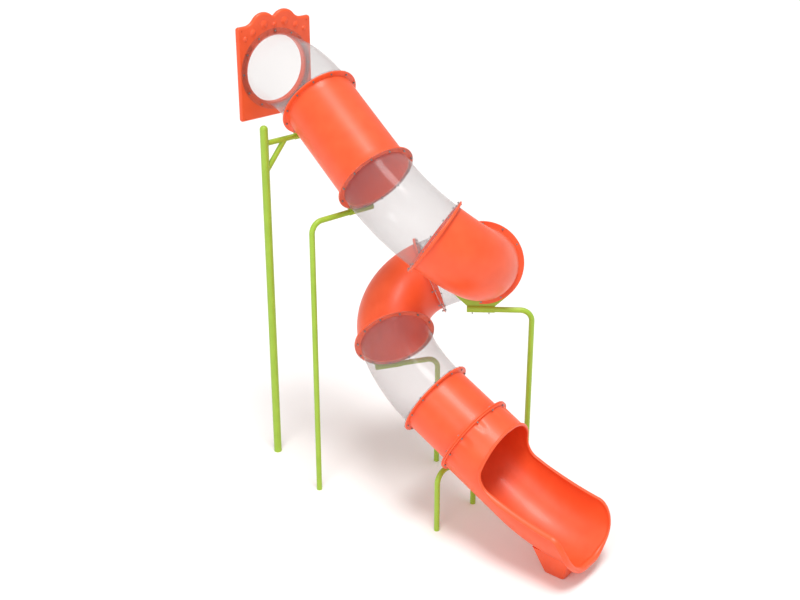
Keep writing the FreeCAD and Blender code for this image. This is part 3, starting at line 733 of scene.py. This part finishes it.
def finish(name, colour, pale, deep, roughness, bump, dust, grain_scale=900.0, metallic=0.0, coat=0.0):
    """A plastic, paint or metal: tone varied between a deep and a pale shade, with grain and dust."""
    material = bpy.data.materials.new(name)
    material.use_nodes = True
    tree = material.node_tree
    shader = tree.nodes["Principled BSDF"]
    grain = add_node(tree, "ShaderNodeGroup", node_tree=GRAIN)
    grain.inputs["Grain Scale"].default_value = grain_scale
    weather = add_node(tree, "ShaderNodeGroup", node_tree=WEATHER)
    weather.inputs["Dust"].default_value = dust
    tone = add_node(tree, "ShaderNodeValToRGB")
    tone.color_ramp.elements[0].position, tone.color_ramp.elements[1].position = 0.25, 0.8
    tone.color_ramp.elements[0].color, tone.color_ramp.elements[1].color = (*deep, 1), (*colour, 1)
    tree.links.new(grain.outputs["Tone"], tone.inputs[0])
    dusted = add_node(tree, "ShaderNodeMix", data_type="RGBA")
    tree.links.new(weather.outputs["Dust Mask"], dusted.inputs["Factor"])
    tree.links.new(tone.outputs[0], dusted.inputs["A"])
    dusted.inputs["B"].default_value = (*pale, 1)
    streaked = add_node(tree, "ShaderNodeMix", data_type="RGBA")
    streaks = math_node(tree, "MULTIPLY", weather.outputs["Streak Mask"], streak_strength)
    tree.links.new(streaks, streaked.inputs["Factor"])
    tree.links.new(dusted.outputs["Result"], streaked.inputs["A"])
    streaked.inputs["B"].default_value = (*deep, 1)
    tree.links.new(streaked.outputs["Result"], shader.inputs["Base Color"])
    rough = math_node(tree, "MULTIPLY_ADD", weather.outputs["Dust Mask"], 0.35)
    rough.node.inputs[2].default_value = roughness
    tree.links.new(rough, shader.inputs["Roughness"])
    shader.inputs["Metallic"].default_value = metallic
    shader.inputs["Coat Weight"].default_value = coat
    shader.inputs["Coat Roughness"].default_value = 0.12
    relief = add_node(tree, "ShaderNodeBump")
    relief.inputs["Strength"].default_value = bump
    relief.inputs["Distance"].default_value = relief_height
    tree.links.new(grain.outputs["Height"], relief.inputs["Height"])
    tree.links.new(relief.outputs[0], shader.inputs["Normal"])
    return material


def clear_sheet():
    """Clear thermoformed polycarbonate, a little smoky, with settled dust and a glossy skin."""
    material = bpy.data.materials.new("clear_polycarbonate")
    material.use_nodes = True
    tree = material.node_tree
    shader = tree.nodes["Principled BSDF"]
    weather = add_node(tree, "ShaderNodeGroup", node_tree=WEATHER)
    weather.inputs["Dust"].default_value = 1.0
    haze = add_node(tree, "ShaderNodeMix", data_type="RGBA")
    haze.inputs["A"].default_value = (0.36, 0.34, 0.35, 1)
    haze.inputs["B"].default_value = (0.56, 0.53, 0.54, 1)
    tree.links.new(weather.outputs["Dust Mask"], haze.inputs["Factor"])
    tree.links.new(haze.outputs["Result"], shader.inputs["Base Color"])
    rough = math_node(tree, "MULTIPLY_ADD", weather.outputs["Dust Mask"], 0.15)
    rough.node.inputs[2].default_value = 0.12
    tree.links.new(rough, shader.inputs["Roughness"])
    # more sheet is looked through where it turns away, so the edges are denser
    edge = tree.nodes.new("ShaderNodeLayerWeight")
    edge.inputs["Blend"].default_value = 0.25
    dense = math_node(tree, "MULTIPLY_ADD", edge.outputs["Facing"], 0.22)
    dense.node.inputs[2].default_value = 0.10
    alpha = math_node(tree, "MULTIPLY_ADD", weather.outputs["Dust Mask"], 0.06)
    tree.links.new(dense, alpha.node.inputs[2])
    tree.links.new(alpha, shader.inputs["Alpha"])
    grain = add_node(tree, "ShaderNodeGroup", node_tree=GRAIN)
    grain.inputs["Wave Scale"].default_value = 4.0
    relief = add_node(tree, "ShaderNodeBump")
    relief.inputs["Strength"].default_value = 0.05
    relief.inputs["Distance"].default_value = relief_height
    tree.links.new(grain.outputs["Height"], relief.inputs["Height"])
    tree.links.new(relief.outputs[0], shader.inputs["Normal"])
    return material


orange = finish("moulded_plastic", (0.93, 0.112, 0.028), (0.95, 0.19, 0.09), (0.87, 0.092, 0.020),
                0.40, 0.35, 0.25, coat=0.05)
lime = finish("powder_coat", (0.38, 0.59, 0.050), (0.50, 0.66, 0.18), (0.32, 0.51, 0.035),
              0.38, 0.5, 0.25, 1400.0)
zinc = finish("zinc_fasteners", (0.36, 0.35, 0.34), (0.42, 0.41, 0.40), (0.26, 0.26, 0.26),
              0.5, 0.3, 0.3, 1500.0, metallic=0.8)
brass = finish("insert_brass", (0.72, 0.50, 0.20), (0.75, 0.6, 0.4), (0.55, 0.36, 0.12),
               0.35, 0.3, 0.1, 1500.0, metallic=1.0)
clear = clear_sheet()
finishes = {"moulded_plastic": orange, "powder_coat": lime, "zinc_fasteners": zinc,
            "insert_brass": brass, "clear_polycarbonate": clear}
slot_of = {part["node"]: part["material_slot"] for part in record["subparts"]}


def give(piece, slot):
    piece.data.materials.clear()
    piece.data.materials.append(finishes[slot])


for node, shell in shells.items():
    give(shell, slot_of[node])
for piece in (chute, rim, foot, *panel_pieces):
    give(piece, "moulded_plastic")


def crisp_smooth():
    """Geometry nodes that join loose triangles and shade all but sharp corners smooth."""
    tree = bpy.data.node_groups.new("crisp_smooth", "GeometryNodeTree")
    tree.interface.new_socket("Geometry", in_out="INPUT", socket_type="NodeSocketGeometry")
    tree.interface.new_socket("Geometry", in_out="OUTPUT", socket_type="NodeSocketGeometry")
    into, out = tree.nodes.new("NodeGroupInput"), tree.nodes.new("NodeGroupOutput")
    merge = tree.nodes.new("GeometryNodeMergeByDistance")
    merge.inputs["Distance"].default_value = 0.00002
    faces = add_node(tree, "GeometryNodeSetShadeSmooth", domain="FACE")
    edges = add_node(tree, "GeometryNodeSetShadeSmooth", domain="EDGE")
    edges.inputs["Shade Smooth"].default_value = False
    angle = tree.nodes.new("GeometryNodeInputMeshEdgeAngle")
    sharp = add_node(tree, "FunctionNodeCompare", data_type="FLOAT", operation="GREATER_THAN")
    sharp.inputs["B"].default_value = 0.55
    tree.links.new(into.outputs[0], merge.inputs["Geometry"])
    tree.links.new(merge.outputs["Geometry"], faces.inputs["Geometry"])
    tree.links.new(faces.outputs["Geometry"], edges.inputs["Geometry"])
    tree.links.new(angle.outputs["Unsigned Angle"], sharp.inputs["A"])
    tree.links.new(sharp.outputs["Result"], edges.inputs["Selection"])
    tree.links.new(edges.outputs["Geometry"], out.inputs[0])
    return tree


CRISP = crisp_smooth()
for node, carried in frame["nodes"].items():
    if carried.hide_render:
        continue
    for index in range(max(1, len(carried.material_slots))):
        if not carried.material_slots:
            carried.data.materials.append(None)
        carried.material_slots[index].material = finishes[slot_of[node]]
    carried.modifiers.new("crisp_smooth", "NODES").node_group = CRISP


# ---------------------------------------------------------------- floor, light and camera

pale = bpy.data.materials.new("pale_floor")
pale.use_nodes = True
floor_shader = pale.node_tree.nodes["Principled BSDF"]
floor_shader.inputs["Base Color"].default_value = (0.93, 0.93, 0.93, 1)
floor_shader.inputs["Roughness"].default_value = 0.9
floor_mesh = bmesh.new()
bmesh.ops.create_grid(floor_mesh, x_segments=1, y_segments=1, size=60.0)
floor = mesh_object("studio_floor", floor_mesh)
floor.data.materials.append(pale)

world = bpy.data.worlds.new("studio")
bpy.context.scene.world = world
world.use_nodes = True
sky = world.node_tree.nodes["Background"]
sky.inputs["Color"].default_value = (1.0, 0.94, 0.91, 1)
sky.inputs["Strength"].default_value = 0.62


def lamp(name, kind, location, target, energy, size=None, angle=None):
    data = bpy.data.lights.new(name, kind)
    data.energy = energy
    if size:
        data.size = size
    if angle:
        data.angle = angle
    made = bpy.data.objects.new(name, data)
    made.location = location
    made.rotation_euler = (target - location).to_track_quat("-Z", "Y").to_euler()
    bpy.context.scene.collection.objects.link(made)


middle = Vector((0.9, -1.8, 2.4))
lamp("key", "SUN", middle + Vector((-0.9, -1.9, 9.0)), middle, 2.0, angle=math.radians(20))
lamp("left_box", "AREA", middle + Vector((-9.0, -5.0, 5.0)), middle, 260, size=5.0)

camera_data = bpy.data.cameras.new("camera")
camera_data.lens = 62.69
camera_data.sensor_width = 36.0
camera_data.clip_end = 200.0
camera = bpy.data.objects.new("camera", camera_data)
camera.location = (-7.715, -12.005, 8.810)
camera.rotation_euler = (math.radians(64.34), 0, math.radians(-38.577))
bpy.context.scene.collection.objects.link(camera)
bpy.context.scene.camera = camera
bpy.context.scene.view_settings.view_transform = "Standard"
